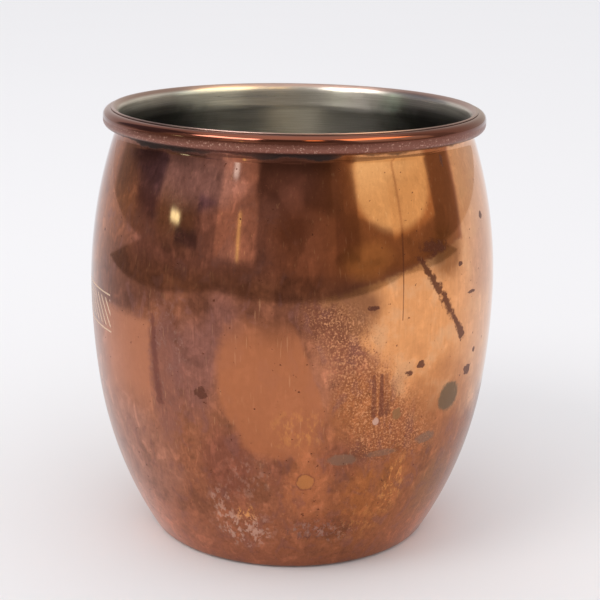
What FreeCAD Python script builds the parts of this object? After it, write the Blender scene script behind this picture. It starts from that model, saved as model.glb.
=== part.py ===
import FreeCAD, Part
import math
import os

# A barrel-shaped copper mug with a stainless steel lining and a riveted brass handle.
# Millimetres. The origin is the centre of the base, +Z runs up the mug's axis, and the
# handle stands out towards +Y. Sections are drawn in (radius, height) and spun about Z.

# ---- driving dimensions ------------------------------------------------------------
HEIGHT = 95.0            # floor to the highest point, on the lining's edge
MOUTH_R = 41.5           # outside radius of the rolled rim
NECK_R = 39.0            # outside radius just under the rolled rim
BELLY_R = 44.8           # widest outside radius
BELLY_Z = 55.5           # height of the widest point

COPPER = 0.5             # sheet thickness of the outer shell
STEEL = 0.4              # sheet thickness of the lining

UPPER_ARC_R = 102.0      # barrel side from the belly up to the neck
MIDDLE_ARC_R = 155.0     # barrel side from the belly down to MIDDLE_END_Z
MIDDLE_END_Z = 34.0
LOWER_ARC_R = 89.0       # barrel side from MIDDLE_END_Z down to the base corner
BASE_CORNER_R = 2.0      # rounding between the side and the flat base
NECK_BEND_R = 4.0        # hollow bend where the side turns up into the rim

ROLL_STRAIGHT = 0.9      # flat side of the rolled rim, which is taller than it is wide
ROLL_END_DEG = -105.0    # where the rolled edge stops, short of the neck
LINING_END_DEG = 102.0   # where the lining's edge stops, just short of the crest

BAR_WIDTH = 10.0         # handle bar, across
BAR_THICKNESS = 6.0      # handle bar, through
HANDLE_REACH = 76.0      # from the axis to the handle's outermost face
HANDLE_MID_Z = 49.0      # mid-height of the handle's loop
GRIP_ARC_R = 46.0        # centre line of the upright part of the loop
GRIP_HALF_DEG = 18.0     # the grip's arc runs this far above and below its middle
CORNER_ARC_R = 14.0      # centre line of the loop's two corners
ARM_SLOPE_DEG = 14.0     # the arms rise (and fall) this much on their way out
ARM_ROOT_Y = 40.0        # the arms are drawn to here, then cut flush with the barrel

PAD_THICKNESS = 2.0      # tongue at each end of the handle
PAD_END_R = 6.0          # half its width, and the radius of its rounded ends
PAD_LENGTH = 7.5         # from the rivet's centre to the centre of the tongue's other end
PAD_DRAW_DEPTH = 8.0     # the tongue's outline is pushed this far each way before trimming

UPPER_RIVET_Z = 78.0
LOWER_RIVET_Z = 20.0
RIVET_R = 1.6            # shank
RIVET_HEAD_R = 3.4
OUTER_HEAD_RISE = 1.7    # domed outer head, above the tongue
INNER_HEAD_RISE = 1.1    # flatter head inside the mug
HEAD_SINK = 0.4          # head drawn this far into its seat, then cut to fit it

AXIS_POINT = FreeCAD.Vector(0, 0, 0)
AXIS = FreeCAD.Vector(0, 0, 1)

# ---- worked-out dimensions ---------------------------------------------------------
UPPER_CENTRE = (BELLY_R - UPPER_ARC_R, BELLY_Z)
MIDDLE_CENTRE = (BELLY_R - MIDDLE_ARC_R, BELLY_Z)

# the middle and lower arcs are tangent at MIDDLE_END_Z
MIDDLE_END_DEG = math.degrees(math.asin((MIDDLE_END_Z - BELLY_Z) / MIDDLE_ARC_R))
LOWER_CENTRE = (
    MIDDLE_CENTRE[0] + (MIDDLE_ARC_R - LOWER_ARC_R) * math.cos(math.radians(MIDDLE_END_DEG)),
    MIDDLE_CENTRE[1] + (MIDDLE_ARC_R - LOWER_ARC_R) * math.sin(math.radians(MIDDLE_END_DEG)),
)

# the base corner touches the floor and the inside of the lower arc
CORNER_SPAN = LOWER_ARC_R - BASE_CORNER_R
CORNER_DROP = BASE_CORNER_R - LOWER_CENTRE[1]
CORNER_CENTRE = (LOWER_CENTRE[0] + math.sqrt(CORNER_SPAN**2 - CORNER_DROP**2), BASE_CORNER_R)
CORNER_END_DEG = math.degrees(math.asin(CORNER_DROP / CORNER_SPAN))

# the neck bend touches the outside of the upper arc and ends upright at NECK_R
NECK_SPAN = UPPER_ARC_R + NECK_BEND_R
NECK_RUN = NECK_R + NECK_BEND_R - UPPER_CENTRE[0]
NECK_END_DEG = math.degrees(math.acos(NECK_RUN / NECK_SPAN))
NECK_CENTRE = (NECK_R + NECK_BEND_R, BELLY_Z + math.sqrt(NECK_SPAN**2 - NECK_RUN**2))

# the roll fills the width from the copper's inner face at the neck out to the mouth
ROLL_R = (MOUTH_R - (NECK_R - COPPER)) / 2
LINING_TOP_RISE = (ROLL_R + STEEL) * math.sin(math.radians(LINING_END_DEG))
ROLL_TOP = (MOUTH_R - ROLL_R, HEIGHT - LINING_TOP_RISE)
ROLL_BOTTOM = (ROLL_TOP[0], ROLL_TOP[1] - ROLL_STRAIGHT)


# ---- drawing helpers ---------------------------------------------------------------
def on_circle(centre, radius, degrees):
    """Point of a circle in the (radius, height) half-plane."""
    angle = math.radians(degrees)
    return (centre[0] + radius * math.cos(angle), centre[1] + radius * math.sin(angle))


def section_vector(point):
    """(radius, height) drawn in the XZ plane."""
    return FreeCAD.Vector(point[0], 0, point[1])


def loop_vector(point):
    """(reach, height) drawn in the YZ plane, where the handle's loop lies."""
    return FreeCAD.Vector(0, point[0], point[1])


def arc(centre, radius, start, end, place=section_vector):
    points = [on_circle(centre, radius, angle) for angle in (start, (start + end) / 2, end)]
    return Part.Arc(*[place(point) for point in points]).toShape()


def line(first, last, place=section_vector):
    return Part.makeLine(place(first), place(last))


def spin(edges):
    """Solid of revolution of a closed section."""
    outline = Part.Wire(Part.sortEdges(edges)[0])
    return Part.makeSolid(Part.Face(outline).revolve(AXIS_POINT, AXIS, 360).Shells[0])


def wall_line(depth):
    """The wall's section, depth inside the outer face, from the base's centre to the throat."""
    throat_r = NECK_R - depth
    return [
        line((0, depth), (CORNER_CENTRE[0], depth)),
        arc(CORNER_CENTRE, BASE_CORNER_R - depth, -90, CORNER_END_DEG),
        arc(LOWER_CENTRE, LOWER_ARC_R - depth, CORNER_END_DEG, MIDDLE_END_DEG),
        arc(MIDDLE_CENTRE, MIDDLE_ARC_R - depth, MIDDLE_END_DEG, 0),
        arc(UPPER_CENTRE, UPPER_ARC_R - depth, 0, NECK_END_DEG),
        arc(NECK_CENTRE, NECK_BEND_R + depth, 180 + NECK_END_DEG, 180),
        line((throat_r, NECK_CENTRE[1]), (throat_r, ROLL_TOP[1])),
    ]


def roll_line(radius):
    """One face of the rolled copper rim, from the throat over the crest and back under."""
    outermost = ROLL_TOP[0] + radius
    return [
        arc(ROLL_TOP, radius, 180, 0),
        line((outermost, ROLL_TOP[1]), (outermost, ROLL_BOTTOM[1])),
        arc(ROLL_BOTTOM, radius, 0, ROLL_END_DEG),
    ]


def outside_at(height):
    """Outside radius at a height, and how far the surface's normal tilts up, in degrees."""
    if height >= BELLY_Z:
        centre, radius = UPPER_CENTRE, UPPER_ARC_R
    elif height >= MIDDLE_END_Z:
        centre, radius = MIDDLE_CENTRE, MIDDLE_ARC_R
    else:
        centre, radius = LOWER_CENTRE, LOWER_ARC_R
    tilt = math.degrees(math.asin((height - centre[1]) / radius))
    return on_circle(centre, radius, tilt)[0], tilt


# ---- the two skins of the cup ------------------------------------------------------
def make_outer_shell():
    """Copper: flat base, barrel side and rolled rim, all one spun sheet."""
    edges = wall_line(0) + roll_line(ROLL_R - COPPER)
    edges += wall_line(COPPER) + roll_line(ROLL_R)
    edges.append(line(
        on_circle(ROLL_BOTTOM, ROLL_R - COPPER, ROLL_END_DEG),
        on_circle(ROLL_BOTTOM, ROLL_R, ROLL_END_DEG),
    ))
    edges.append(line((0, 0), (0, COPPER)))
    return spin(edges)


def make_inner_lining():
    """Steel: lies against the copper from the base to just short of the rim's crest."""
    outer, inner = ROLL_R, ROLL_R + STEEL
    edges = wall_line(COPPER) + wall_line(COPPER + STEEL)
    edges += [arc(ROLL_TOP, radius, 180, LINING_END_DEG) for radius in (outer, inner)]
    edges.append(line(
        on_circle(ROLL_TOP, outer, LINING_END_DEG),
        on_circle(ROLL_TOP, inner, LINING_END_DEG),
    ))
    edges.append(line((0, COPPER), (0, COPPER + STEEL)))
    return spin(edges)


def solid_barrel(growth):
    """The barrel as a solid block, grown outwards, used only to cut and trim other pieces."""
    top = (NECK_R + growth, ROLL_TOP[1])
    bottom = (0, -growth)
    return spin(wall_line(-growth) + [line(top, (0, top[1])), line((0, top[1]), bottom)])


# ---- handle ------------------------------------------------------------------------
def seat_placement(rivet_z):
    """Frame of a rivet: its local +Z leaves the barrel at right angles to the surface."""
    radius, tilt = outside_at(rivet_z)
    turn = FreeCAD.Rotation(FreeCAD.Vector(1, 0, 0), tilt - 90)
    return FreeCAD.Placement(FreeCAD.Vector(0, radius, rivet_z), turn)


def make_tongue(rivet_z, side):
    """End of the handle that lies on the barrel. side is +1 where the arm is above the rivet."""
    # local +Y points down the barrel, because the local frame is tipped forward onto it
    far = -side * PAD_LENGTH
    across = FreeCAD.Vector(PAD_END_R, 0, 0)
    ends = [FreeCAD.Vector(0, 0, 0), FreeCAD.Vector(0, far, 0)]
    bulge = [FreeCAD.Vector(0, side * PAD_END_R, 0), FreeCAD.Vector(0, far - side * PAD_END_R, 0)]
    outline = Part.Wire([
        Part.Arc(ends[0] - across, bulge[0], ends[0] + across).toShape(),
        Part.makeLine(ends[0] + across, ends[1] + across),
        Part.Arc(ends[1] + across, bulge[1], ends[1] - across).toShape(),
        Part.makeLine(ends[1] - across, ends[0] - across),
    ])
    block = Part.Face(outline).extrude(FreeCAD.Vector(0, 0, 2 * PAD_DRAW_DEPTH))
    block.translate(FreeCAD.Vector(0, 0, -PAD_DRAW_DEPTH))
    block.Placement = seat_placement(rivet_z).multiply(block.Placement)
    return block.common(solid_barrel(PAD_THICKNESS))


def make_bar():
    """The loop: two arms, two corners and an upright grip, swept as one bar."""
    grip_centre = (HANDLE_REACH - BAR_THICKNESS / 2 - GRIP_ARC_R, HANDLE_MID_Z)
    upper_corner = on_circle(grip_centre, GRIP_ARC_R - CORNER_ARC_R, GRIP_HALF_DEG)
    lower_corner = on_circle(grip_centre, GRIP_ARC_R - CORNER_ARC_R, -GRIP_HALF_DEG)
    arm_deg = 90 + ARM_SLOPE_DEG
    upper_out = on_circle(upper_corner, CORNER_ARC_R, arm_deg)
    lower_out = on_circle(lower_corner, CORNER_ARC_R, -arm_deg)
    fall = (upper_out[0] - ARM_ROOT_Y) * math.tan(math.radians(ARM_SLOPE_DEG))
    upper_root = (ARM_ROOT_Y, upper_out[1] - fall)
    lower_root = (ARM_ROOT_Y, lower_out[1] + fall)
    path = Part.Wire([
        line(upper_root, upper_out, loop_vector),
        arc(upper_corner, CORNER_ARC_R, arm_deg, GRIP_HALF_DEG, loop_vector),
        arc(grip_centre, GRIP_ARC_R, GRIP_HALF_DEG, -GRIP_HALF_DEG, loop_vector),
        arc(lower_corner, CORNER_ARC_R, -GRIP_HALF_DEG, -arm_deg, loop_vector),
        line(lower_out, lower_root, loop_vector),
    ])
    section = Part.Ellipse(FreeCAD.Vector(0, 0, 0), BAR_WIDTH / 2, BAR_THICKNESS / 2).toShape()
    section.Placement = FreeCAD.Placement(
        loop_vector(upper_root),
        FreeCAD.Rotation(FreeCAD.Vector(1, 0, 0), ARM_SLOPE_DEG - 90),
    )
    return path.makePipeShell([Part.Wire(section)], True, False)


def make_handle():
    """Brass: the bar and its two tongues, cast in one piece and fitted to the barrel."""
    upper_tongue = make_tongue(UPPER_RIVET_Z, -1)
    lower_tongue = make_tongue(LOWER_RIVET_Z, 1)
    whole = make_bar().fuse([upper_tongue, lower_tongue])
    return whole.cut(solid_barrel(0)).removeSplitter()


# ---- rivets ------------------------------------------------------------------------
def make_shank(rivet_z):
    bottom = -(COPPER + STEEL + HEAD_SINK)
    top = PAD_THICKNESS + HEAD_SINK
    shank = Part.makeCylinder(RIVET_R, top - bottom, FreeCAD.Vector(0, 0, bottom))
    shank.Placement = seat_placement(rivet_z)
    return shank


def make_dome(rivet_z, seat, rise, way):
    """A domed head standing on the local height seat, towards way (+1 out, -1 in)."""
    ball_r = (RIVET_HEAD_R**2 + rise**2) / (2 * rise)
    ball = Part.makeSphere(ball_r, FreeCAD.Vector(0, 0, seat + way * (rise - ball_r)))
    start = seat if way > 0 else seat - rise
    cap = ball.common(Part.makeCylinder(RIVET_HEAD_R, rise, FreeCAD.Vector(0, 0, start)))
    foot_start = seat - HEAD_SINK if way > 0 else seat
    foot = Part.makeCylinder(RIVET_HEAD_R, HEAD_SINK, FreeCAD.Vector(0, 0, foot_start))
    dome = cap.fuse(foot).removeSplitter()
    dome.Placement = seat_placement(rivet_z)
    return dome


def make_rivet(rivet_z, seats):
    """Brass: shank through tongue, copper and steel, with a head hammered down on each side."""
    outer_head = make_dome(rivet_z, PAD_THICKNESS, OUTER_HEAD_RISE, 1)
    inner_head = make_dome(rivet_z, -(COPPER + STEEL), INNER_HEAD_RISE, -1)
    heads = [head.cut(seats) for head in (outer_head, inner_head)]
    return make_shank(rivet_z).fuse(heads).removeSplitter()


# ---- build and write ---------------------------------------------------------------
def build():
    shell, lining, handle = make_outer_shell(), make_inner_lining(), make_handle()
    rivets = {"upper_rivet": UPPER_RIVET_Z, "lower_rivet": LOWER_RIVET_Z}
    shanks = [make_shank(height) for height in rivets.values()]
    parts = {
        "outer_shell": shell.cut(shanks),
        "inner_lining": lining.cut(shanks),
        "handle": handle.cut(shanks),
    }
    for name, height in rivets.items():
        parts[name] = make_rivet(height, [shell, lining, handle])
    return parts


def single_solid(name, shape):
    """Every node is one closed solid, so anything else stops the build."""
    if not shape.isValid() or len(shape.Solids) != 1:
        raise SystemExit(f"{name}: valid {shape.isValid()}, {len(shape.Solids)} solids")
    return shape.Solids[0]


os.makedirs("parts", exist_ok=True)
for node, model in build().items():
    solid = single_solid(node, model)
    solid.exportStep(f"parts/{node}.step")
    box = solid.BoundBox
    print(f"{node}: {solid.Volume:.1f} mm3, {box.XLength:.2f} x {box.YLength:.2f} x {box.ZLength:.2f}")
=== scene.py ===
import math

import bpy
import numpy as np
from mathutils import Matrix, Vector
from mathutils import noise as value_noise


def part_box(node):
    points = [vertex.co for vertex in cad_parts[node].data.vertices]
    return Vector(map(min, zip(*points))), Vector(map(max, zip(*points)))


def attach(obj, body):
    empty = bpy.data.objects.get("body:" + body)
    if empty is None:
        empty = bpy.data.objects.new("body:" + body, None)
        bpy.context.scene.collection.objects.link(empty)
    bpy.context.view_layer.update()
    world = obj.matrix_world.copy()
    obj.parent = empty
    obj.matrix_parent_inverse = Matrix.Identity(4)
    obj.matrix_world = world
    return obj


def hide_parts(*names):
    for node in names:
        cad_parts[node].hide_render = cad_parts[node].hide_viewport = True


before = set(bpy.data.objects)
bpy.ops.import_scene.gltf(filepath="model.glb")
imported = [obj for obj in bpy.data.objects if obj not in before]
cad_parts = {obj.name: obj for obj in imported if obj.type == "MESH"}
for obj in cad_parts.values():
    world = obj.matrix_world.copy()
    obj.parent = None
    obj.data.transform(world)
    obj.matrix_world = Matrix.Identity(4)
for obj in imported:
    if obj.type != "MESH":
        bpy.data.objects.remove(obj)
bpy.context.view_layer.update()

# A barrel-shaped copper mug with a steel lining and a riveted brass handle, on a pale floor.
# Metres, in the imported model's frame. The handle is towards +Y and the camera looks along +Y.

MM = 0.001
DEG = math.pi / 180

# ---- sizes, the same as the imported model's -----------------------------------------
_, SHELL_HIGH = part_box("outer_shell")
_, LINING_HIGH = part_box("inner_lining")
HEIGHT = LINING_HIGH.z
BELLY_R = SHELL_HIGH.x
COPPER = 0.5 * MM
STEEL = 0.4 * MM
MOUTH_R = 41.5 * MM
NECK_R = 39.0 * MM
BELLY_Z = 55.5 * MM
UPPER_ARC_R = 102 * MM
MIDDLE_ARC_R = 155 * MM
MIDDLE_END_Z = 34 * MM
LOWER_ARC_R = 89 * MM
BASE_CORNER_R = 2 * MM
NECK_BEND_R = 4 * MM
ROLL_STRAIGHT = 0.9 * MM
ROLL_END_DEG = -105
LINING_END_DEG = 102

UPPER_CENTRE = (BELLY_R - UPPER_ARC_R, BELLY_Z)
MIDDLE_CENTRE = (BELLY_R - MIDDLE_ARC_R, BELLY_Z)
MIDDLE_END_DEG = math.asin((MIDDLE_END_Z - BELLY_Z) / MIDDLE_ARC_R) / DEG
LOWER_CENTRE = (
    MIDDLE_CENTRE[0] + (MIDDLE_ARC_R - LOWER_ARC_R) * math.cos(MIDDLE_END_DEG * DEG),
    MIDDLE_CENTRE[1] + (MIDDLE_ARC_R - LOWER_ARC_R) * math.sin(MIDDLE_END_DEG * DEG),
)
CORNER_SPAN = LOWER_ARC_R - BASE_CORNER_R
CORNER_DROP = BASE_CORNER_R - LOWER_CENTRE[1]
CORNER_CENTRE = (LOWER_CENTRE[0] + math.sqrt(CORNER_SPAN**2 - CORNER_DROP**2), BASE_CORNER_R)
CORNER_END_DEG = math.asin(CORNER_DROP / CORNER_SPAN) / DEG
NECK_SPAN = UPPER_ARC_R + NECK_BEND_R
NECK_RUN = NECK_R + NECK_BEND_R - UPPER_CENTRE[0]
NECK_END_DEG = math.acos(NECK_RUN / NECK_SPAN) / DEG
NECK_CENTRE = (NECK_R + NECK_BEND_R, BELLY_Z + math.sqrt(NECK_SPAN**2 - NECK_RUN**2))
ROLL_R = (MOUTH_R - (NECK_R - COPPER)) / 2
LINING_TOP_RISE = (ROLL_R + STEEL) * math.sin(LINING_END_DEG * DEG)
ROLL_TOP = (MOUTH_R - ROLL_R, HEIGHT - LINING_TOP_RISE)
ROLL_BOTTOM = (ROLL_TOP[0], ROLL_TOP[1] - ROLL_STRAIGHT)

SHELL_SEGMENTS = 432
LINING_SEGMENTS = 360
FINE_STEP = 0.9 * MM       # profile spacing on faces that show
COARSE_STEP = 5 * MM       # profile spacing on the hidden faces between the two skins

# ---- camera ------------------------------------------------------------------------
CAMERA_DISTANCE = 306.9 * MM
CAMERA_HEIGHT = 136.6 * MM
CAMERA_PITCH_DEG = 15.59
CAMERA_YAW_DEG = 0.337
CAMERA_ROLL_DEG = 0.93
SENSOR_MM = 36
LENS_MM = 84.57


# ---- profiles and lathed meshes ----------------------------------------------------
def arc_points(centre, radius, start, end, step):
    """(radius, height) points along an arc, without its last point."""
    length = abs(end - start) * DEG * radius
    count = max(3, math.ceil(length / step))
    angles = [(start + (end - start) * i / count) * DEG for i in range(count)]
    return [(centre[0] + radius * math.cos(a), centre[1] + radius * math.sin(a)) for a in angles]


def line_points(first, last, step):
    count = max(1, math.ceil(math.dist(first, last) / step))
    return [tuple(a + (b - a) * i / count for a, b in zip(first, last)) for i in range(count)]


def wall_points(depth, step):
    """The wall's section, depth inside the outer face, from the base's centre to the throat."""
    throat_r = NECK_R - depth
    points = line_points((0, depth), (CORNER_CENTRE[0], depth), 4 * step)
    points += arc_points(CORNER_CENTRE, BASE_CORNER_R - depth, -90, CORNER_END_DEG, step / 3)
    points += arc_points(LOWER_CENTRE, LOWER_ARC_R - depth, CORNER_END_DEG, MIDDLE_END_DEG, step)
    points += arc_points(MIDDLE_CENTRE, MIDDLE_ARC_R - depth, MIDDLE_END_DEG, 0, step)
    points += arc_points(UPPER_CENTRE, UPPER_ARC_R - depth, 0, NECK_END_DEG, step)
    points += arc_points(NECK_CENTRE, NECK_BEND_R + depth, 180 + NECK_END_DEG, 180, step / 3)
    points += line_points((throat_r, NECK_CENTRE[1]), (throat_r, ROLL_TOP[1]), step / 2)
    return points


def roll_points(radius, step):
    """One face of the rolled rim, from the throat over the crest and back under."""
    outermost = ROLL_TOP[0] + radius
    points = arc_points(ROLL_TOP, radius, 180, 0, step)
    points += line_points((outermost, ROLL_TOP[1]), (outermost, ROLL_BOTTOM[1]), step)
    points += arc_points(ROLL_BOTTOM, radius, 0, ROLL_END_DEG, step)
    return points


def rounded_edge(centre, sheet_mid_r, thickness, degrees, step):
    """Half-round edge of a sheet that ends at an angle of the roll."""
    middle = (
        centre[0] + sheet_mid_r * math.cos(degrees * DEG),
        centre[1] + sheet_mid_r * math.sin(degrees * DEG),
    )
    return arc_points(middle, thickness / 2, degrees - 180, degrees, step)


def lathe(name, points, segments):
    """A closed mesh spun from a section whose first and last points lie on the axis."""
    turns = np.arange(segments) * (2 * math.pi / segments)
    around = np.stack([np.cos(turns), np.sin(turns)], 1)
    rings = np.array(points[1:-1])
    xy = rings[:, None, :1] * around[None]
    z = np.broadcast_to(rings[:, None, 1:], (len(rings), segments, 1))
    vertices = np.concatenate([xy, z], 2).reshape(-1, 3)
    poles = [(0, 0, points[0][1]), (0, 0, points[-1][1])]
    nxt = np.roll(np.arange(segments), -1)
    low = np.arange(len(rings) - 1)[:, None] * segments
    here, there = np.arange(segments)[None], nxt[None]
    quads = np.stack([low + here, low + there, low + segments + there, low + segments + here], 2)
    faces = quads.reshape(-1, 4).tolist()
    first_pole, last_pole = len(vertices), len(vertices) + 1
    last = (len(rings) - 1) * segments
    faces += [(first_pole, int(nxt[i]), i) for i in range(segments)]
    faces += [(last_pole, last + i, last + int(nxt[i])) for i in range(segments)]
    mesh = bpy.data.meshes.new(name)
    mesh.from_pydata(vertices.tolist() + poles, [], faces)
    mesh.shade_smooth()
    piece = bpy.data.objects.new(name, mesh)
    bpy.context.scene.collection.objects.link(piece)
    return piece


def push_in(piece, depth_at):
    """Moves each vertex towards the axis by depth_at(position), for dents and unevenness."""
    for vertex in piece.data.vertices:
        reach = math.hypot(vertex.co.x, vertex.co.y)
        if reach > 0:
            shrink = 1 - depth_at(vertex.co) / reach
            vertex.co.x *= shrink
            vertex.co.y *= shrink


# ---- the pieces --------------------------------------------------------------------
WAVE_SIZE = 17 * MM        # breadth of the slow unevenness of the spun copper
WAVE_DEPTH = 0.05 * MM
RIPPLE_SIZE = 5 * MM
RIPPLE_DEPTH = 0.006 * MM


def copper_dents(position):
    wave = value_noise.noise(position / WAVE_SIZE)
    ripple = value_noise.noise(position / RIPPLE_SIZE)
    return WAVE_DEPTH * (0.5 + 0.5 * wave) + RIPPLE_DEPTH * (0.5 + 0.5 * ripple)


def make_copper_shell():
    fine_roll = FINE_STEP / 4
    points = wall_points(0, FINE_STEP) + roll_points(ROLL_R - COPPER, fine_roll)
    points += rounded_edge(ROLL_BOTTOM, ROLL_R - COPPER / 2, COPPER, ROLL_END_DEG, fine_roll / 2)
    hidden = wall_points(COPPER, COARSE_STEP) + roll_points(ROLL_R, fine_roll)
    points += hidden[::-1]
    piece = lathe("copper_shell", points, SHELL_SEGMENTS)
    push_in(piece, copper_dents)
    return piece


LINING_LIP_DEG = LINING_END_DEG + 4        # set back, so the rounded edge stays below the top


def make_steel_lining():
    fine_roll = FINE_STEP / 4
    points = wall_points(COPPER, COARSE_STEP)
    points += arc_points(ROLL_TOP, ROLL_R, 180, LINING_LIP_DEG, fine_roll)
    points += rounded_edge(ROLL_TOP, ROLL_R + STEEL / 2, STEEL, LINING_LIP_DEG, fine_roll / 2)
    inside = wall_points(COPPER + STEEL, FINE_STEP)
    inside += arc_points(ROLL_TOP, ROLL_R + STEEL, 180, LINING_LIP_DEG, fine_roll)
    return lathe("steel_lining", points + inside[::-1], LINING_SEGMENTS)


VOXEL = 0.35 * MM
SMOOTH_PASSES = 12


def make_brass_handle():
    """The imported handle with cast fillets: remeshed finely, then smoothed."""
    piece = bpy.data.objects.new("brass_handle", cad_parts["handle"].data.copy())
    piece.data.materials.clear()
    bpy.context.scene.collection.objects.link(piece)
    remesh = piece.modifiers.new("remesh", "REMESH")
    remesh.mode = "VOXEL"
    remesh.voxel_size = VOXEL
    smooth = piece.modifiers.new("smooth", "SMOOTH")
    smooth.iterations = SMOOTH_PASSES
    finished = bpy.data.meshes.new_from_object(
        piece.evaluated_get(bpy.context.evaluated_depsgraph_get()))
    piece.modifiers.clear()
    piece.data = finished
    finished.shade_smooth()
    return piece


# ---- node building -----------------------------------------------------------------
class Graph:
    """Short calls for building one node tree."""

    def __init__(self, tree):
        self.tree = tree
        tree.nodes.clear()

    def node(self, kind, inputs=None, **settings):
        made = self.tree.nodes.new(kind)
        for name, value in settings.items():
            setattr(made, name, value)
        for name, value in (inputs or {}).items():
            self.feed(made.inputs[name], value)
        return made

    def feed(self, socket, value):
        if isinstance(value, bpy.types.NodeSocket):
            self.tree.links.new(value, socket)
        elif isinstance(value, tuple) and len(value) == 3 and socket.type == "RGBA":
            socket.default_value = (*value, 1)
        else:
            socket.default_value = value

    def math(self, operation, *values, clamp=False):
        inputs = dict(enumerate(values))
        return self.node("ShaderNodeMath", inputs, operation=operation, use_clamp=clamp).outputs[0]

    def add(self, a, b):
        return self.math("ADD", a, b)

    def subtract(self, a, b):
        return self.math("SUBTRACT", a, b)

    def multiply(self, a, b):
        return self.math("MULTIPLY", a, b)

    def smooth(self, value, none, full):
        """0 at none, 1 at full, and a smooth step between. none may be above full."""
        inputs = {0: value, 1: none, 2: full}
        if none > full:
            inputs = {0: value, 1: full, 2: none, 3: 1.0, 4: 0.0}
        return self.node("ShaderNodeMapRange", inputs, interpolation_type="SMOOTHSTEP").outputs[0]

    def mix(self, factor, a, b, blend="MIX"):
        inputs = {0: factor, 6: a, 7: b}
        return self.node("ShaderNodeMix", inputs, data_type="RGBA", blend_type=blend).outputs[2]

    def blend_value(self, factor, a, b):
        return self.node("ShaderNodeMix", {0: factor, 2: a, 3: b}, data_type="FLOAT").outputs[0]

    def vector(self, x, y, z):
        return self.node("ShaderNodeCombineXYZ", {0: x, 1: y, 2: z}).outputs[0]

    def split(self, vector):
        return self.node("ShaderNodeSeparateXYZ", {0: vector}).outputs[:]

    def noise(self, vector, scale, detail=3.0, roughness=0.5, distortion=0.0):
        inputs = {
            "Vector": vector, "Scale": scale, "Detail": detail,
            "Roughness": roughness, "Distortion": distortion,
        }
        return self.node("ShaderNodeTexNoise", inputs).outputs["Fac"]

    def cells(self, vector, scale, feature="F1", output="Distance", **settings):
        inputs = {"Vector": vector, "Scale": scale}
        return self.node("ShaderNodeTexVoronoi", inputs, feature=feature, **settings).outputs[output]

    def stretch(self, vector, x, y, z):
        inputs = {0: vector, 1: (x, y, z)}
        return self.node("ShaderNodeVectorMath", inputs, operation="MULTIPLY").outputs[0]

    def bump(self, height, strength, distance, normal=None):
        inputs = {"Height": height, "Strength": strength, "Distance": distance}
        if normal is not None:
            inputs["Normal"] = normal
        return self.node("ShaderNodeBump", inputs).outputs[0]

    def position(self):
        """Object position in millimetres."""
        place = self.node("ShaderNodeTexCoord").outputs["Object"]
        return self.stretch(place, 1 / MM, 1 / MM, 1 / MM)

    def turn_and_height(self, position):
        """Degrees around the mug, 0 at the front and positive towards +X, and height."""
        x, y, z = self.split(position)
        turn = self.math("ARCTAN2", x, self.multiply(y, -1.0))
        return self.multiply(turn, 1 / DEG), z


def new_material(name):
    material = bpy.data.materials.new(name)
    material.use_nodes = True
    return material, Graph(material.node_tree)


# ---- copper ------------------------------------------------------------------------
MM_PER_TURN_DEG = BELLY_R * DEG / MM       # surface distance of one degree at the belly


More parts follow.
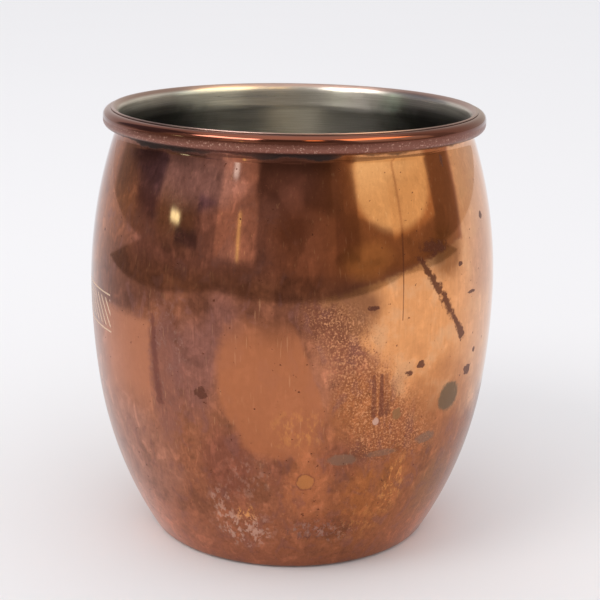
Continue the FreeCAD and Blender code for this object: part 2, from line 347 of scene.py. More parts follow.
class Skin:
    """Colour, roughness and metalness of the mug's wall, painted in layers.

    Places are given as (degrees around, millimetres up)."""

    def __init__(self, graph, colour, roughness, metal):
        self.graph = graph
        self.place = graph.position()
        turn, self.up = graph.turn_and_height(self.place)
        self.turn = turn
        self.along = graph.multiply(turn, MM_PER_TURN_DEG)
        self.grain = graph.noise(self.place, 0.9, 4.0, 0.6)
        self.clouds = graph.noise(self.place, 0.16, 4.0, 0.55)
        self.grit = graph.noise(self.place, 2.4, 3.0, 0.7)
        self.streaks = graph.noise(graph.stretch(self.place, 1.0, 1.0, 0.05), 1.8, 3.0, 0.6)
        self.colour, self.roughness, self.metal = colour, roughness, metal

    def offset(self, turn, up):
        g = self.graph
        return g.subtract(self.along, turn * MM_PER_TURN_DEG), g.subtract(self.up, up)

    def ragged(self, distance, amount, texture=None):
        g = self.graph
        wobble = g.subtract(texture or self.grain, 0.5)
        return g.add(distance, g.multiply(wobble, 2 * amount))

    def blob(self, turn, up, half_width, half_height, edge=0.2, rough_edge=0.3, lean=0.0,
             texture=None):
        """An oval patch. edge and rough_edge are shares of its size; lean turns it, in degrees."""
        g = self.graph
        across, rise = self.offset(turn, up)
        if lean:
            c, s = math.cos(lean * DEG), math.sin(lean * DEG)
            turned = g.add(g.multiply(across, c), g.multiply(rise, s))
            rise = g.subtract(g.multiply(rise, c), g.multiply(across, s))
            across = turned
        across = g.math("POWER", g.math("ABSOLUTE", g.multiply(across, 1 / half_width)), 2.0)
        rise = g.math("POWER", g.math("ABSOLUTE", g.multiply(rise, 1 / half_height)), 2.0)
        distance = g.math("SQRT", g.add(across, rise))
        distance = self.ragged(distance, rough_edge, texture)
        return g.smooth(distance, 1 + edge, 1 - edge)

    def beyond(self, turn, up, facing, width, rough_edge=1.0, texture=None):
        """1 on the side of a line that facing (degrees from +turn towards up) points to."""
        g = self.graph
        across, rise = self.offset(turn, up)
        distance = g.add(
            g.multiply(across, math.cos(facing * DEG)), g.multiply(rise, math.sin(facing * DEG)))
        distance = self.ragged(distance, rough_edge, texture)
        return g.smooth(distance, -width / 2, width / 2)

    def run(self, start, end, half_width, end_half_width, edge=0.35, rough_edge=0.25):
        """A straight streak from one place to another, with its own width at each end."""
        g = self.graph
        across, rise = self.offset(*start)
        dx, dy = (end[0] - start[0]) * MM_PER_TURN_DEG, end[1] - start[1]
        length = math.hypot(dx, dy)
        share = g.math(
            "DIVIDE",
            g.add(g.multiply(across, dx), g.multiply(rise, dy)), length**2, clamp=True)
        miss_x = g.subtract(across, g.multiply(share, dx))
        miss_y = g.subtract(rise, g.multiply(share, dy))
        distance = g.math("SQRT", g.add(g.math("POWER", miss_x, 2.0), g.math("POWER", miss_y, 2.0)))
        width = g.blend_value(share, half_width, end_half_width)
        distance = self.ragged(g.math("DIVIDE", distance, width), rough_edge)
        return g.smooth(distance, 1 + edge, 1 - edge)

    def shade(self, mask, factor):
        """Multiplies the colour by factor where mask is 1."""
        self.colour = self.graph.mix(mask, self.colour, self.graph.mix(
            1.0, self.colour, (factor, factor, factor), "MULTIPLY"))

    def paint(self, mask, colour=None, roughness=None, metal=None, strength=1.0):
        g = self.graph
        if strength != 1.0:
            mask = g.multiply(mask, strength)
        if colour is not None:
            self.colour = g.mix(mask, self.colour, colour)
        if roughness is not None:
            self.roughness = g.blend_value(mask, self.roughness, roughness)
        if metal is not None:
            self.metal = g.blend_value(mask, self.metal, metal)


def both(graph, *masks):
    """Product of masks."""
    result = masks[0]
    for mask in masks[1:]:
        result = graph.multiply(result, mask)
    return result


def either(graph, *masks):
    """Largest of masks."""
    result = masks[0]
    for mask in masks[1:]:
        result = graph.math("MAXIMUM", result, mask)
    return result


CLEAN_COPPER = (0.80, 0.36, 0.155)
PINK_COPPER = (0.70, 0.39, 0.25)
PALE_COPPER = (0.90, 0.50, 0.28)
FILM = (0.325, 0.120, 0.070)
ROSE_FILM = (0.42, 0.20, 0.15)
DULL_FILM = (0.25, 0.088, 0.060)
PURPLE_FILM = (0.26, 0.112, 0.098)
RUBBED_FILM = (0.49, 0.175, 0.083)
PANEL_FILM = (0.52, 0.21, 0.125)
WARM_FILM = (0.42, 0.150, 0.056)
RIGHT_FILM = (0.36, 0.128, 0.055)
# Painted reflection of the dark room, laid over the tarnish.
DARK_ROOM_REFLECTION = (0.155, 0.056, 0.036)
MAUVE_FILM = (0.42, 0.20, 0.19)
AMBER_FILM = (0.28, 0.086, 0.040)
DARK_AMBER = (0.24, 0.080, 0.025)
ORANGE_EDGE_REFLECTION = (0.56, 0.20, 0.065)
UPPER_FILM_AND_REFLECTION = (0.27, 0.100, 0.082)
UPPER_RIGHT_FILM = (0.37, 0.118, 0.040)
WINDOW_REFLECTION_COPPER = (0.66, 0.30, 0.135)
GREEN_TINGE = (0.31, 0.150, 0.068)
DARK_FILM = (0.13, 0.042, 0.026)
OLIVE_SPOT = (0.17, 0.105, 0.058)
MAROON = (0.14, 0.045, 0.040)
RESIDUE = (0.66, 0.40, 0.33)
GREY_SMEAR = (0.24, 0.135, 0.095)
ORANGE_RUB = (0.84, 0.36, 0.115)
ROSE_RUB = (0.78, 0.36, 0.19)
ENGRAVED = (0.88, 0.66, 0.52)
# painted shadow colour for the crevice under the rolled rim
CREVICE_SHADOW = (0.020, 0.008, 0.006)
WARMTH = (0.98, 0.95, 0.86)                # last tint over every layer
ROLL_COLOUR = (0.185, 0.068, 0.050)
ROLL_UNDERSIDE = (0.25, 0.108, 0.088)

# Broad tones of the tarnish on the front, some of them painted reflections of the room:
# degrees around, height, half width and half height in millimetres, colour and strength.
BROAD_TONES = (
    (40, 20, 22, 24, RIGHT_FILM, 0.9),
    (-64, 28, 14, 30, ROSE_FILM, 0.8),
    (-45, 24, 9, 13, ROSE_FILM, 0.55),
    (-17, 27, 6, 9, DULL_FILM, 0.85),
    (-3, 28, 4, 6, DULL_FILM, 0.5),
    (5, 24, 5, 9, RUBBED_FILM, 0.85),
    (-26, 47, 5, 10, PURPLE_FILM, 0.7),
    (-18, 56, 4, 8, PURPLE_FILM, 0.5),
    (8, 47, 2.5, 8, PANEL_FILM, 0.5),
    (15, 29, 6, 4, DULL_FILM, 0.5),
    (26, 19, 7, 9, WARM_FILM, 0.7),
    (20, 41, 7, 7, WARM_FILM, 0.7),
    (4, 37, 4, 4, DULL_FILM, 0.5),
    (50, 17, 6, 8, GREEN_TINGE, 0.5),
    (14, 12, 9, 3, DULL_FILM, 0.5),
    (-64, 76, 11, 16, WARM_FILM, 0.6),
    (-56, 62, 8, 11, DARK_ROOM_REFLECTION, 0.75),
    (15, 61, 6, 6, DARK_ROOM_REFLECTION, 0.75),
    (-30, 85, 12, 5, MAUVE_FILM, 0.7),
    (5, 74, 9, 8, AMBER_FILM, 0.7),
    # painted reflection of the table's orange front edge
    (20, 70.5, 5, 3.5, ORANGE_EDGE_REFLECTION, 0.7),
    (45, 70, 5, 5, DARK_AMBER, 0.75),
    (33, 8, 26, 9, DARK_AMBER, 0.3),
    (-61, 58, 7, 6, DARK_ROOM_REFLECTION, 0.5),
    (-58, 86, 5, 6, DARK_ROOM_REFLECTION, 0.6),
    (64, 66, 6, 8, ROSE_FILM, 0.3),
)


def copper_material():
    material, g = new_material("copper")
    skin = Skin(g, CLEAN_COPPER, 0.06, 1.0)
    paint_film(g, skin)
    paint_texture(g, skin)
    paint_wiped_places(g, skin)
    paint_marks(g, skin)
    paint_spots(skin)
    paint_specks(g, skin)
    paint_rim(g, skin)
    paint_ornament(g, skin)
    height = g.add(g.multiply(skin.streaks, 0.5), g.multiply(skin.grain, 0.5))
    normal = g.bump(height, 0.06, 0.02 * MM)
    shader = g.node("ShaderNodeBsdfPrincipled", {
        "Base Color": g.mix(1.0, skin.colour, WARMTH, "MULTIPLY"), "Metallic": skin.metal,
        "Roughness": skin.roughness, "Normal": normal,
    })
    g.node("ShaderNodeOutputMaterial", {"Surface": shader.outputs[0]})
    return material


def paint_film(g, skin):
    """The brown tarnish that covers most of the barrel, all but the clean right side, with painted
    reflections of the room and the window laid into it.
    """
    skin.paint(g.smooth(skin.turn, 42, 66), PINK_COPPER, strength=0.85)
    skin.paint(g.smooth(skin.clouds, 0.48, 0.68), PALE_COPPER, strength=0.55)
    right_of = skin.beyond(21, 50, 38, 4, 4.0, skin.clouds)
    above = skin.beyond(45, 30, 102, 7, 6.0, skin.clouds)
    # The clean side stops above the line where the table's front edge reflects, so the film above it
    # is partly a painted reflection of the dark room.
    below_table_edge = skin.beyond(24, 66.6, -75, 1.5, 1.0)
    far_right = g.smooth(skin.turn, 50.5, 53.5)
    clean = both(
        g, right_of, above, either(g, below_table_edge, far_right),
        skin.beyond(125, 50, 180, 40, 4.0))
    film = g.subtract(1.0, clean)
    roughness = g.blend_value(g.smooth(skin.up, 66, 52), 0.075, 0.22)
    skin.paint(film, FILM, roughness, strength=0.96)
    # Darker film above about 66 mm: tarnish, darkened further as a painted reflection of the dim room.
    upper = both(g, film, g.smooth(skin.up, 64, 70))
    skin.paint(upper, UPPER_FILM_AND_REFLECTION, strength=0.7)
    upper_right = g.multiply(upper, g.smooth(skin.turn, 2, 16))
    skin.paint(upper_right, UPPER_RIGHT_FILM, strength=0.9)
    # Painted reflection of the window: paler copper high on the right, where the window reflects.
    window_reflection = skin.blob(29, 86, 9.6, 10.5, 0.12, 0.1, texture=skin.clouds)
    skin.paint(window_reflection, WINDOW_REFLECTION_COPPER, strength=0.9)
    # Painted reflection of the dark room: a darker band on the front and left, about 50 to 70 mm up.
    dark_band_reflection = both(
        g, film, g.smooth(skin.up, 45, 57), g.smooth(skin.up, 72, 65), g.smooth(skin.turn, 12, 4))
    skin.paint(g.multiply(dark_band_reflection, g.smooth(skin.clouds, 0.25, 0.6)), DARK_ROOM_REFLECTION, strength=0.85)
    for turn, up, half_width, half_height, colour, strength in BROAD_TONES:
        tone = skin.blob(turn, up, half_width, half_height, 0.45, 0.45, texture=skin.clouds)
        skin.paint(tone, colour, strength=strength)


def paint_wiped_places(g, skin):
    """Lighter shapes where the tarnish thins, and the purple and speckled ones beside them."""
    lens = both(
        g, skin.blob(-5, 45.5, 11, 17, 0.10, 0.22, 8, skin.clouds),
        skin.beyond(5.5, 48, 200, 1.0, 0.5), g.smooth(skin.up, 62, 52))
    skin.paint(lens, RUBBED_FILM, 0.17, strength=0.72)
    panel = both(
        g, skin.beyond(-40, 46, 180, 1.2, 0.5), skin.beyond(-50, 56, -92, 3, 1.5),
        skin.beyond(-63, 50, 0, 8, 2.0), skin.beyond(-50, 37, 90, 10, 3.0))
    skin.paint(panel, PANEL_FILM, 0.17, strength=0.75)
    purple = skin.blob(-35, 45, 4.2, 14, 0.3, 0.5)
    skin.paint(purple, PURPLE_FILM, 0.2, strength=0.6)
    seam = skin.run((-38.8, 57), (-37.5, 39), 0.5, 0.9, 0.6, 1.5)
    skin.paint(seam, MAROON, 0.2, strength=0.55)
    speckled = both(
        g, skin.beyond(9, 50, 20, 7, 2.0), skin.beyond(31, 45, 215, 9, 3.0),
        skin.beyond(20, 29, 90, 7), skin.beyond(20, 62, -90, 5))
    bright = g.multiply(speckled, g.smooth(skin.grit, 0.53, 0.60))
    dark = g.multiply(speckled, g.smooth(skin.grit, 0.45, 0.38))
    skin.paint(bright, ROSE_RUB, 0.25, strength=0.7)
    skin.paint(dark, DULL_FILM, 0.3, strength=0.65)


def paint_texture(g, skin):
    """Smeared mottling, upright polishing streaks and fine pale cracks in the tarnish, and copper
    lightened near the foot as a painted reflection of the lit floor.
    """
    tarnished = g.subtract(1.0, both(
        g, skin.beyond(24, 50, 38, 8, 3.0), skin.beyond(45, 33, 102, 8, 3.0),
        g.smooth(skin.turn, 130, 110)))
    spread = g.blend_value(tarnished, 0.4, 1.0)
    smears = g.noise(g.stretch(skin.place, 1.0, 1.0, 0.6), 0.30, 4.0, 0.55, 0.7)
    skin.paint(both(g, tarnished, g.smooth(smears, 0.52, 0.66)), PURPLE_FILM, strength=0.42)
    for texture, none, full, factor in (
        (smears, 0.47, 0.34, 1.3), (skin.clouds, 0.54, 0.68, 0.78),
        (skin.grain, 0.52, 0.68, 0.86), (skin.grain, 0.48, 0.34, 1.12),
        (skin.streaks, 0.54, 0.66, 0.90), (skin.streaks, 0.46, 0.34, 1.12),
    ):
        skin.shade(g.multiply(spread, g.smooth(texture, none, full)), factor)
    # Painted reflection of the lit floor: lighter towards the foot, more at the sides.
    beside = g.smooth(g.math("ABSOLUTE", skin.turn), 20, 60)
    foot_reflection = g.smooth(skin.up, 20, 6)
    skin.shade(foot_reflection, 1.14)
    skin.shade(g.multiply(foot_reflection, beside), 1.35)
    warp = g.multiply(g.subtract(skin.grain, 0.5), 5.0)
    bent = g.node(
        "ShaderNodeVectorMath",
        {0: g.stretch(skin.place, 1.0, 1.0, 0.6), 1: g.vector(warp, warp, warp)}, operation="ADD")
    cracks = g.cells(bent.outputs[0], 0.42, "DISTANCE_TO_EDGE")
    cracks = both(g, g.smooth(cracks, 0.05, 0.01), g.smooth(smears, 0.44, 0.54))
    places = either(
        g, skin.blob(-35, 47, 5, 12, 0.4, 0.5), skin.blob(-150, 60, 22, 20, 0.4, 0.5),
        skin.blob(110, 25, 18, 14, 0.4, 0.5))
    skin.paint(both(g, places, cracks), RESIDUE, 0.4, 0.85, strength=0.4)


def paint_marks(g, skin):
    """Water marks, drips, smears and residue, and a painted reflection of a thin upright in the room.
    """
    drip = either(
        g, skin.run((35, 70), (42.5, 62), 0.5, 0.8, 0.6, 2.4),
        skin.run((42.5, 62), (48, 56), 0.9, 0.7, 0.6, 2.4),
        skin.run((48, 56), (52, 52), 0.6, 1.0, 0.4, 1.6), skin.blob(51.8, 52, 1.2, 1.0, 0.2, 0.8),
        skin.blob(40, 71.5, 3.2, 1.5, 0.4, 1.4))
    skin.paint(drip, DARK_FILM, 0.3, strength=0.9)
    # A thin dark upright line at 30 degrees: a painted reflection of a thin upright in the room.
    skin.paint(skin.run((30, 75), (29.5, 58), 0.22, 0.12), DARK_FILM, 0.2, strength=0.6)
    for turn, strength in ((22.4, 0.5), (24.6, 0.65), (26, 0.3)):
        drop = skin.run((turn - 0.6, 47), (turn, 38.5), 0.35, 0.65)
        skin.paint(drop, MAROON, 0.2, strength=strength)
    skin.paint(skin.blob(23.2, 37, 0.7, 0.8), RESIDUE, 0.5, 0.6, strength=0.9)
    ring = skin.blob(4.5, 24, 2.1, 2.1, 0.10, 0.3)
    ring_inside = skin.blob(4.5, 24, 1.8, 1.8, 0.14, 0.3)
    skin.paint(ring, MAROON, 0.3, strength=0.55)
    skin.paint(ring_inside, ORANGE_RUB, 0.25, strength=0.42)
    for turn, up, half_width, half_height, strength in (
        (14.5, 29, 3.2, 1.3, 0.75), (26, 29.5, 3.6, 0.8, 0.6), (41, 30.8, 2.8, 1.2, 0.7),
    ):
        smear = skin.blob(turn, up, half_width, half_height, 0.25, 0.4)
        skin.paint(smear, GREY_SMEAR, 0.35, 0.8, strength=strength)
    scuffed = g.smooth(g.noise(g.stretch(skin.place, 1.0, 1.0, 0.5), 0.9, 5.0, 0.72), 0.49, 0.60)
    for turn, up, half_width, half_height, colour, strength in (
        (-15, 11, 7, 4.5, RESIDUE, 0.8), (-21, 17, 3, 4, RESIDUE, 0.5),
        (-13.5, 15.5, 2.4, 2.2, ORANGE_RUB, 0.8), (10, 11, 8, 3, MAROON, 0.75),
        (7, 12, 5, 2, RESIDUE, 0.4), (15, 10, 4, 2, RESIDUE, 0.35),
        (32, 21, 3, 7, ORANGE_RUB, 0.5), (-12, 24, 5, 5, RESIDUE, 0.22),
        (2, 36, 5, 4, ORANGE_RUB, 0.35), (24, 12, 6, 4, ORANGE_RUB, 0.3),
    ):
        zone = skin.blob(turn, up, half_width, half_height, 0.5, 0.5)
        skin.paint(g.multiply(zone, scuffed), colour, 0.4, 0.85, strength=strength)


def paint_spots(skin):
    """Round and ragged dark spots."""
    for turn, up, half_width, half_height, rough_edge, colour in (
        (48.7, 38.8, 3.5, 3.2, 0.25, OLIVE_SPOT), (57, 43, 1.5, 1.2, 1.2, DARK_FILM),
        (36, 48, 1.1, 0.9, 1.5, DARK_FILM), (32.5, 46.6, 0.8, 0.7, 1.5, DARK_FILM),
        (21, 61, 1.1, 0.6, 1.0, DARK_FILM), (66, 75, 1.1, 0.8, 0.8, DARK_FILM),
        (51, 67, 0.7, 0.5, 1.0, DARK_FILM), (56.5, 60.3, 1.6, 0.35, 1.0, DARK_FILM),
        (-24, 42.5, 1.5, 1.3, 1.4, DARK_FILM), (29.5, 38, 1.1, 1.1, 1.0, GREEN_TINGE),
        (48.5, 88, 0.5, 1.2, 0.8, DARK_FILM), (60, 47, 0.7, 0.6, 1.0, DARK_FILM),
        (97, 52, 1.3, 1.2, 1.0, DARK_FILM), (112, 66, 0.8, 0.7, 1.0, DARK_FILM),
        (88, 30, 2.4, 2.2, 0.3, OLIVE_SPOT), (-118, 38, 1.4, 1.5, 1.0, DARK_FILM),
        (148, 44, 2.2, 2.0, 0.4, OLIVE_SPOT), (-146, 26, 1.2, 1.0, 1.2, DARK_FILM),
    ):
        spot = skin.blob(turn, up, half_width, half_height, 0.16, rough_edge)
        skin.paint(spot, colour, 0.42, 0.75, strength=0.9)


def paint_specks(g, skin):
    """Fine dark pinpricks, most of them on the clean side, and faint light scuffs."""
    pits = g.noise(skin.place, 0.95, 2.0, 0.6)
    skin.paint(g.smooth(pits, 0.70, 0.74), DARK_FILM, 0.35, strength=0.75)
    scratches = g.noise(g.stretch(skin.place, 1.0, 1.0, 0.06), 2.6, 2.0, 0.5)
    skin.paint(g.smooth(scratches, 0.66, 0.72), PALE_COPPER, strength=0.16)


ROLL_FOOT = 91.2           # height of the rolled rim's lower edge
ROLL_WIDEST = 92.8         # below here the roll is dull, above it is polished
SHADOW_START = 85.5        # the copper darkens from here up to the crevice


def paint_rim(g, skin):
    """Darker rolled rim, rough underneath, with painted shade on the neck below it and a painted black
    shadow line in the crevice.
    """
    roll = g.smooth(skin.up, ROLL_FOOT - 0.3, ROLL_FOOT + 0.3)
    skin.paint(roll, ROLL_COLOUR, 0.09)
    underside = g.multiply(roll, g.smooth(skin.up, ROLL_WIDEST + 0.4, ROLL_WIDEST - 0.3))
    skin.paint(underside, ROLL_UNDERSIDE, 0.34, strength=0.9)
    crumbs = g.multiply(underside, g.smooth(skin.grit, 0.58, 0.64))
    skin.paint(crumbs, RESIDUE, 0.5, 0.6, strength=0.7)
    below_roll = g.smooth(skin.up, ROLL_FOOT + 0.3, ROLL_FOOT - 0.2)
    deep_shade = either(
        g, both(g, g.smooth(skin.turn, -60, -50), g.smooth(skin.turn, -22, -34)),
        both(g, g.smooth(skin.turn, -16, -4), g.smooth(skin.turn, 15, 9)))
    # Painted shade: the neck darkens towards the roll in two stretches of the front.
    skin.shade(both(g, deep_shade, below_roll, g.smooth(skin.up, SHADOW_START, 89.2)), 0.5)
    # Painted shadow: a black line in the crevice under the roll.
    crevice = g.add(skin.up, g.multiply(g.subtract(skin.clouds, 0.5), 3.0))
    crevice_start = g.blend_value(deep_shade, 90.0, 89.4)
    crevice = g.smooth(g.subtract(crevice, crevice_start), 0.0, 0.6)
    crevice = both(g, crevice, below_roll, g.blend_value(deep_shade, 0.6, 0.9))
    skin.paint(crevice, CREVICE_SHADOW, 0.7, 0.4)


ORNAMENT_UP = 54.0         # a band on the mug's left side
ORNAMENT_TURN = -98.0
ORNAMENT_HALF_DEG = 40.0
ORNAMENT_HALF_HEIGHT = 4.0
STROKE_SPACING = 2.4
STROKE_LEAN = 0.8          # sideways per millimetre up
STROKE_GAP = 0.8           # between the strokes' ends and the hairlines
CUT_WIDTH = 0.42


def paint_ornament(g, skin):
    """A generic engraved rope border: leaning strokes between two hairlines."""
    across, rise = skin.offset(ORNAMENT_TURN, ORNAMENT_UP)
    half_length = ORNAMENT_HALF_DEG * MM_PER_TURN_DEG
    within = g.smooth(g.math("ABSOLUTE", across), half_length + 0.1, half_length)
    height = g.math("ABSOLUTE", rise)
    hairline = g.math("ABSOLUTE", g.subtract(height, ORNAMENT_HALF_HEIGHT))
    hairline = g.smooth(hairline, CUT_WIDTH / 2, CUT_WIDTH / 3)
    leaning = g.add(across, g.multiply(rise, STROKE_LEAN))
    stroke = g.smooth(g.math("PINGPONG", leaning, STROKE_SPACING / 2), CUT_WIDTH, CUT_WIDTH / 2)
    stroke_end = ORNAMENT_HALF_HEIGHT - STROKE_GAP
    stroke = both(g, stroke, g.smooth(height, stroke_end, stroke_end - CUT_WIDTH))
    cut = both(g, within, either(g, hairline, stroke))
    skin.paint(cut, ENGRAVED, 0.5, 0.8, strength=0.8)


# ---- steel -------------------------------------------------------------------------
STEEL_DARK = (0.56, 0.545, 0.49)
STEEL_LIGHT = (0.78, 0.765, 0.72)
LIP_TARNISH = (0.36, 0.24, 0.21)
LIP_UP = 94.2              # the lining is tarnished above here
FLARE_UP = 91.5            # and darker at its two sides below here, a painted shade
SIDE_SHADE_LEVEL = 0.22         # painted shade: brightness of the steel inside, at the mug's left and right


def steel_material():
    material, g = new_material("brushed_steel")
    place = g.position()
    height = g.split(place)[2]
    brushing = g.noise(g.stretch(place, 0.05, 0.05, 5.0), 1.6, 4.0, 0.7)
    broad = g.noise(g.stretch(place, 0.03, 0.03, 0.8), 1.0, 2.0, 0.5)
    stains = g.noise(place, 0.22, 4.0, 0.6)
    colour = g.mix(g.smooth(brushing, 0.3, 0.7), STEEL_DARK, STEEL_LIGHT)
    colour = g.mix(g.multiply(g.smooth(stains, 0.5, 0.7), 0.3), colour, STEEL_DARK)
    # Painted shade: the steel inside darkens towards the mug's left and right, though not in the
    # flare.
    sideways = g.math("ABSOLUTE", g.add(g.split(place)[0], g.multiply(g.subtract(stains, 0.5), 8.0)))
    side_shade = g.blend_value(g.smooth(sideways, 16, 30), 1.0, SIDE_SHADE_LEVEL)
    side_shade = g.blend_value(g.smooth(height, FLARE_UP - 1.0, FLARE_UP + 1.1), side_shade, 1.0)
    colour = g.mix(1.0, colour, g.vector(side_shade, side_shade, side_shade), "MULTIPLY")
    colour = g.mix(g.multiply(g.smooth(height, LIP_UP - 0.3, LIP_UP + 0.3), 0.9), colour, LIP_TARNISH)
    roughness = g.add(g.multiply(brushing, 0.2), g.add(g.multiply(broad, 0.14), 0.16))
    normal = g.bump(brushing, 0.25, 0.03 * MM)
    tangent = g.node("ShaderNodeTangent", direction_type="RADIAL", axis="Z").outputs[0]
    shader = g.node("ShaderNodeBsdfPrincipled", {
        "Base Color": colour, "Metallic": 1.0, "Roughness": roughness, "Normal": normal,
        "Anisotropic": 0.8, "Anisotropic Rotation": 0.25, "Tangent": tangent,
    })
    g.node("ShaderNodeOutputMaterial", {"Surface": shader.outputs[0]})
    return material


# ---- brass -------------------------------------------------------------------------
BRASS_LIGHT = (0.80, 0.58, 0.26)
BRASS_DARK = (0.48, 0.30, 0.12)


def brass_material(name):
    material, g = new_material(name)
    place = g.position()
    clouds = g.noise(place, 0.35, 4.0, 0.6)
    grain = g.noise(place, 2.5, 3.0, 0.6)
    colour = g.mix(g.smooth(clouds, 0.35, 0.68), BRASS_LIGHT, BRASS_DARK)
    roughness = g.add(g.multiply(grain, 0.16), 0.2)
    normal = g.bump(g.add(grain, clouds), 0.12, 0.05 * MM)
    shader = g.node("ShaderNodeBsdfPrincipled", {
        "Base Color": colour, "Metallic": 1.0, "Roughness": roughness, "Normal": normal,
    })
    g.node("ShaderNodeOutputMaterial", {"Surface": shader.outputs[0]})
    return material


# ---- stage, light and camera -------------------------------------------------------
FLOOR_R = 6.0
FLOOR_COLOUR = (0.876, 0.870, 0.878)
BACKDROP_COLOUR = (0.850, 0.848, 0.868)
FILL_COLOUR = (0.965, 0.965, 0.985)
ROOM = (0.50, 0.47, 0.43)
ROOM_FLOOR = (0.44, 0.41, 0.38)
LEFT_SURROUND = (0.80, 0.73, 0.70)
RIGHT_SURROUND = (0.68, 0.61, 0.54)
CEILING = (1.55, 1.48, 1.36)

# What polished metal sees of the room in front, as soft-edged cards on the sky: left,
# right, bottom and top in degrees (0 is straight in front), how far the bottom rises per
# degree to the right, softness and colour.
ROOM_CARDS = (
    (-128, -84, 8, 60, 0.0, 2.5, (0.20, 0.19, 0.23)),
    (-104, -86, 4, 9, 0.0, 2.0, (0.26, 0.24, 0.27)),
    (-84, -58, 2, 12, 0.0, 4.0, (0.44, 0.42, 0.30)),
    (-70, -55, 2, 6, 0.0, 1.0, (0.20, 0.20, 0.22)),
    (-57, -45, 11, 15.5, 0.3, 1.0, (0.26, 0.24, 0.30)),
    (-44, -20, 2, 34, 0.0, 1.2, (0.92, 0.84, 0.70)),
    (-22, 24, 19, 60, -0.1, 2.0, (0.26, 0.23, 0.20)),
    (-8, 6, 8, 22, 0.0, 2.0, (0.40, 0.36, 0.32)),
    (26, 52, -3.5, -0.7, 0.0, 0.8, (0.95, 0.70, 0.50)),
    (24, 38, 2, 60, 0.0, 1.0, (0.34, 0.31, 0.30)),
    (80, 108, -2, 60, 0.0, 2.0, (0.50, 0.46, 0.42)),
)
BRIGHT_CARDS = (
    (37.5, 68, 13, 62, -0.27, 0.7, (1.02, 1.02, 0.84)),
    (58, 88.5, 5.3, 62, 0.0, 0.7, (1.00, 0.96, 0.76)),
    (37.5, 88.5, 20, 62, 0.0, 6.0, (1.30, 1.45, 1.35)),
    (63.3, 64.6, 5, 62, 0.0, 0.4, (0.60, 0.50, 0.40)),
    (-74, -68, 6.6, 8.6, 0.0, 0.9, (4.5, 8.5, 6.0)),
    (-31, -29.6, 2, 14, 0.0, 0.6, (2.4, 2.9, 1.4)),
    (-37.5, -34.5, 22.5, 27.5, 0.0, 0.8, (2.1, 3.3, 3.5)),
)
HIGH_CARDS = (
    (-72, -26, 38, 56, 0.0, 1.5, (11.0, 10.0, 9.6)),
    (36, 86, 38, 62, 0.0, 3.0, (6.5, 4.6, 2.4)),
    (8, 20, 42, 52, 0.0, 2.0, (6.0, 3.4, 1.2)),
)


def make_floor():
    bpy.ops.mesh.primitive_circle_add(vertices=96, radius=FLOOR_R, fill_type="NGON")
    floor = bpy.context.object
    floor.name = "floor"
    material, g = new_material("floor")
    place = g.node("ShaderNodeTexCoord").outputs["Object"]
    mottle = g.noise(place, 6.0, 2.0, 0.5)
    colour = g.mix(mottle, FLOOR_COLOUR, tuple(0.99 * c for c in FLOOR_COLOUR))
    shader = g.node("ShaderNodeBsdfPrincipled", {
        "Base Color": colour, "Roughness": 1.0, "Specular IOR Level": 0.0,
    })
    g.node("ShaderNodeOutputMaterial", {"Surface": shader.outputs[0]})
    floor.data.materials.append(material)


TABLE_FRONT_Y = -0.49      # in front of here, reflections show the dark room, not the table
TABLE_LEFT_X = -0.40       # and to the left of here
TABLE_RIGHT_X = 0.95       # and to the right of here
TABLE_BACK_Y = 0.22        # as far back as here


def make_card(name, low, high, colour):
    """A flat dark stretch of floor that only reflections see."""
    centre = ((low[0] + high[0]) / 2, (low[1] + high[1]) / 2, MM)
    bpy.ops.mesh.primitive_plane_add(size=1, location=centre)
    card = bpy.context.object
    card.name = name
    card.scale = (high[0] - low[0], high[1] - low[1], 1)
    material, g = new_material(name)
    shader = g.node("ShaderNodeEmission", {"Color": colour})
    g.node("ShaderNodeOutputMaterial", {"Surface": shader.outputs[0]})
    card.data.materials.append(material)
    card.visible_camera = False
    card.visible_diffuse = False
    card.visible_shadow = False


def make_room_floor():
    make_card("room_floor_front", (-FLOOR_R, -FLOOR_R), (FLOOR_R, TABLE_FRONT_Y), ROOM_FLOOR)
    make_card("room_floor_left", (-FLOOR_R, TABLE_FRONT_Y), (TABLE_LEFT_X, TABLE_BACK_Y), ROOM_FLOOR)
    make_card("room_floor_right", (TABLE_RIGHT_X, TABLE_FRONT_Y), (FLOOR_R, TABLE_BACK_Y), ROOM_FLOOR)


def hang_cards(g, colour, turn, rise, cards):
    for left, right, bottom, top, climb, soft, shade in cards:
        above = g.subtract(rise, g.multiply(g.subtract(turn, left), climb))
        inside = both(
            g, g.smooth(turn, left - soft, left + soft), g.smooth(turn, right + soft, right - soft),
            g.smooth(above, bottom - soft, bottom + soft), g.smooth(rise, top + soft, top - soft))
        colour = g.mix(inside, colour, shade)
    return colour


CLUTTER_TURN = 13          # degrees across and up of one patch of the room's clutter
CLUTTER_RISE = 8


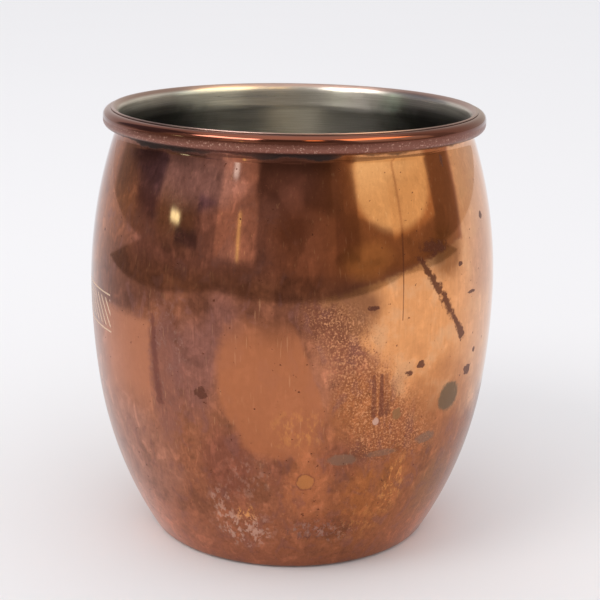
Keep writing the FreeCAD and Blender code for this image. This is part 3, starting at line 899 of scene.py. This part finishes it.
def make_world():
    """Soft white light, with a dim warm room in front that only reflections show."""
    world = bpy.data.worlds.new("studio")
    bpy.context.scene.world = world
    world.use_nodes = True
    g = Graph(world.node_tree)
    x, y, z = g.split(g.node("ShaderNodeTexCoord").outputs["Generated"])
    turn = g.multiply(g.math("ARCTAN2", x, g.multiply(y, -1.0)), 1 / DEG)
    rise = g.multiply(g.math("ARCSINE", z), 1 / DEG)
    colour = g.mix(g.smooth(turn, 104, 112), ROOM, RIGHT_SURROUND)
    colour = g.mix(g.smooth(turn, -126, -132), colour, LEFT_SURROUND)
    colour = hang_cards(g, colour, turn, rise, ROOM_CARDS)
    patches = g.vector(g.multiply(turn, 1 / CLUTTER_TURN), g.multiply(rise, 1 / CLUTTER_RISE), 0.0)
    clutter = g.cells(
        patches, 1.0, output="Color", distance="CHEBYCHEV", voronoi_dimensions="2D")
    clutter = g.add(g.multiply(g.split(clutter)[0], 0.5), 0.72)
    dimmed = g.mix(1.0, colour, g.vector(clutter, clutter, clutter), "MULTIPLY")
    colour = g.mix(g.smooth(g.math("ABSOLUTE", turn), 112, 104), colour, dimmed)
    colour = hang_cards(g, colour, turn, rise, BRIGHT_CARDS)
    colour = g.mix(g.smooth(rise, 48, 66), colour, CEILING)
    colour = hang_cards(g, colour, turn, rise, HIGH_CARDS)
    path = g.node("ShaderNodeLightPath")
    seen = g.mix(path.outputs["Is Camera Ray"], FILL_COLOUR, BACKDROP_COLOUR)
    seen = g.mix(path.outputs["Is Glossy Ray"], seen, colour)
    background = g.node("ShaderNodeBackground", {"Color": seen})
    g.node("ShaderNodeOutputWorld", {"Surface": background.outputs[0]})


KEY_PLACE = Vector((-0.62, -0.52, 0.85))
KEY_SIZE = 0.55
KEY_WATTS = 2.6
KEY_COLOUR = (1.0, 0.98, 0.96)


def make_key_light():
    data = bpy.data.lights.new("key", "AREA")
    data.shape = "DISK"
    data.size = KEY_SIZE
    data.energy = KEY_WATTS
    data.color = KEY_COLOUR
    light = bpy.data.objects.new("key", data)
    light.location = KEY_PLACE
    light.visible_glossy = False
    light.rotation_euler = (Vector((0, 0, HEIGHT / 2)) - KEY_PLACE).to_track_quat("-Z", "Y").to_euler()
    bpy.context.scene.collection.objects.link(light)


def make_camera():
    data = bpy.data.cameras.new("camera")
    data.sensor_width = SENSOR_MM
    data.lens = LENS_MM
    data.clip_start = 0.01
    camera = bpy.data.objects.new("camera", data)
    turn = Matrix.Rotation(-CAMERA_YAW_DEG * DEG, 4, "Z")
    tip = Matrix.Rotation((90 - CAMERA_PITCH_DEG) * DEG, 4, "X")
    roll = Matrix.Rotation(CAMERA_ROLL_DEG * DEG, 4, "Z")
    camera.matrix_world = (
        Matrix.Translation((0, -CAMERA_DISTANCE, CAMERA_HEIGHT)) @ turn @ tip @ roll)
    bpy.context.scene.collection.objects.link(camera)
    bpy.context.scene.camera = camera


# ---- assembly ----------------------------------------------------------------------
def finish_piece(piece, node, material):
    piece.data.materials.clear()
    piece.data.materials.append(material)
    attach(piece, "root")
    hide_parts(node)


bpy.context.scene.view_settings.view_transform = "Standard"
make_camera()
make_floor()
make_room_floor()
make_world()
make_key_light()

finish_piece(make_copper_shell(), "outer_shell", copper_material())
finish_piece(make_steel_lining(), "inner_lining", steel_material())
finish_piece(make_brass_handle(), "handle", brass_material("handle_brass"))
rivet_material = brass_material("rivet_brass")
for rivet in ("upper_rivet", "lower_rivet"):
    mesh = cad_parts[rivet].data
    mesh.materials.clear()
    mesh.materials.append(rivet_material)
